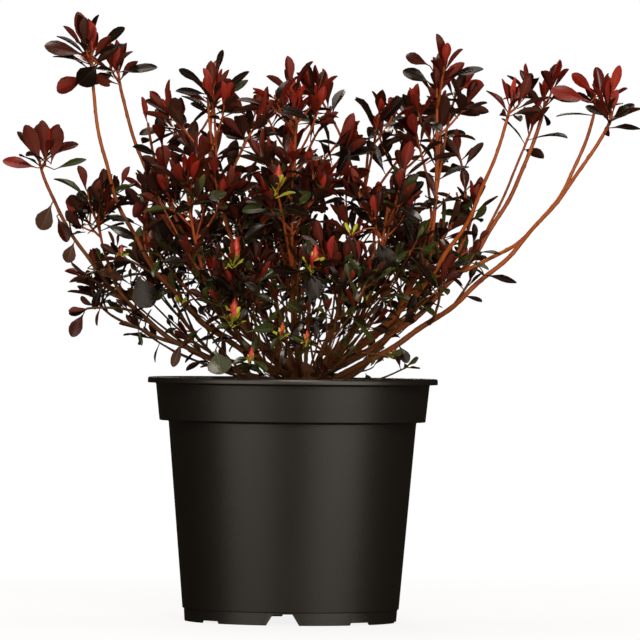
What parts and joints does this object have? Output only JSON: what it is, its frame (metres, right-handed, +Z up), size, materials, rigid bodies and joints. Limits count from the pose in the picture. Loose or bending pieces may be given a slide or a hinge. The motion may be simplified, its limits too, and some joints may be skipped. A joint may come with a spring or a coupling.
{
  "type": "azalea shrub",
  "caption": "Small-leaved azalea shrub with bronze-red leaves on arching woody stems, in a round black plastic nursery pot.",
  "frame": {"origin": "on the ground, on the pot's axis, in the middle of the small foot under the pot's floor", "axes": "+Z up along the pot's axis, +X towards the side where the long arms reach furthest, -Y the front"},
  "size_m": [0.5082, 0.337, 0.4803],
  "materials": {
    "pot": "black moulded plastic, satin",
    "compost": "dark peat compost, matt",
    "old_bark": "olive-brown rough bark",
    "young_bark": "orange-brown smooth bark",
    "foliage": "glossy bronze-red leaves"
  },
  "bodies": {
    "root": {"pot": "pot", "root_ball": "compost", "root_crown": "old_bark", "limb_far_left": "young_bark", "limb_top_left": "young_bark", "limb_top_left_inner": "young_bark", "limb_left_shoulder": "young_bark", "limb_left_crest": "young_bark", "limb_middle_crest": "young_bark", "limb_middle_right_crest": "young_bark", "limb_right_crest": "young_bark", "limb_right_arm_inner": "young_bark", "limb_right_arm": "young_bark", "limb_far_right_upper": "young_bark", "limb_far_right_lower": "young_bark", "limb_front_middle": "young_bark", "limb_front_left": "young_bark", "limb_front_right": "young_bark", "limb_back_left": "young_bark", "limb_back_middle": "young_bark", "limb_back_right": "young_bark", "limb_heart": "young_bark", "limb_left_middle": "young_bark", "limb_left_low": "young_bark", "limb_right_middle": "young_bark", "limb_right_low": "young_bark", "limb_back_low_left": "young_bark", "limb_back_low_right": "young_bark", "limb_back_low": "young_bark", "limb_front_low_left": "young_bark", "limb_front_low_right": "young_bark", "foliage_far_left": "foliage", "foliage_top_left": "foliage", "foliage_top_left_inner": "foliage", "foliage_left_shoulder": "foliage", "foliage_left_crest": "foliage", "foliage_middle_crest": "foliage", "foliage_middle_right_crest": "foliage", "foliage_right_crest": "foliage", "foliage_right_arm_inner": "foliage", "foliage_right_arm": "foliage", "foliage_far_right_upper": "foliage", "foliage_far_right_lower": "foliage", "foliage_front_middle": "foliage", "foliage_front_left": "foliage", "foliage_front_right": "foliage", "foliage_back_left": "foliage", "foliage_back_middle": "foliage", "foliage_back_right": "foliage", "foliage_heart": "foliage", "foliage_left_middle": "foliage", "foliage_left_low": "foliage", "foliage_right_middle": "foliage", "foliage_right_low": "foliage", "foliage_back_low_left": "foliage", "foliage_back_low_right": "foliage", "foliage_back_low": "foliage", "foliage_front_low_left": "foliage", "foliage_front_low_right": "foliage"}
  },
  "joints": []
}
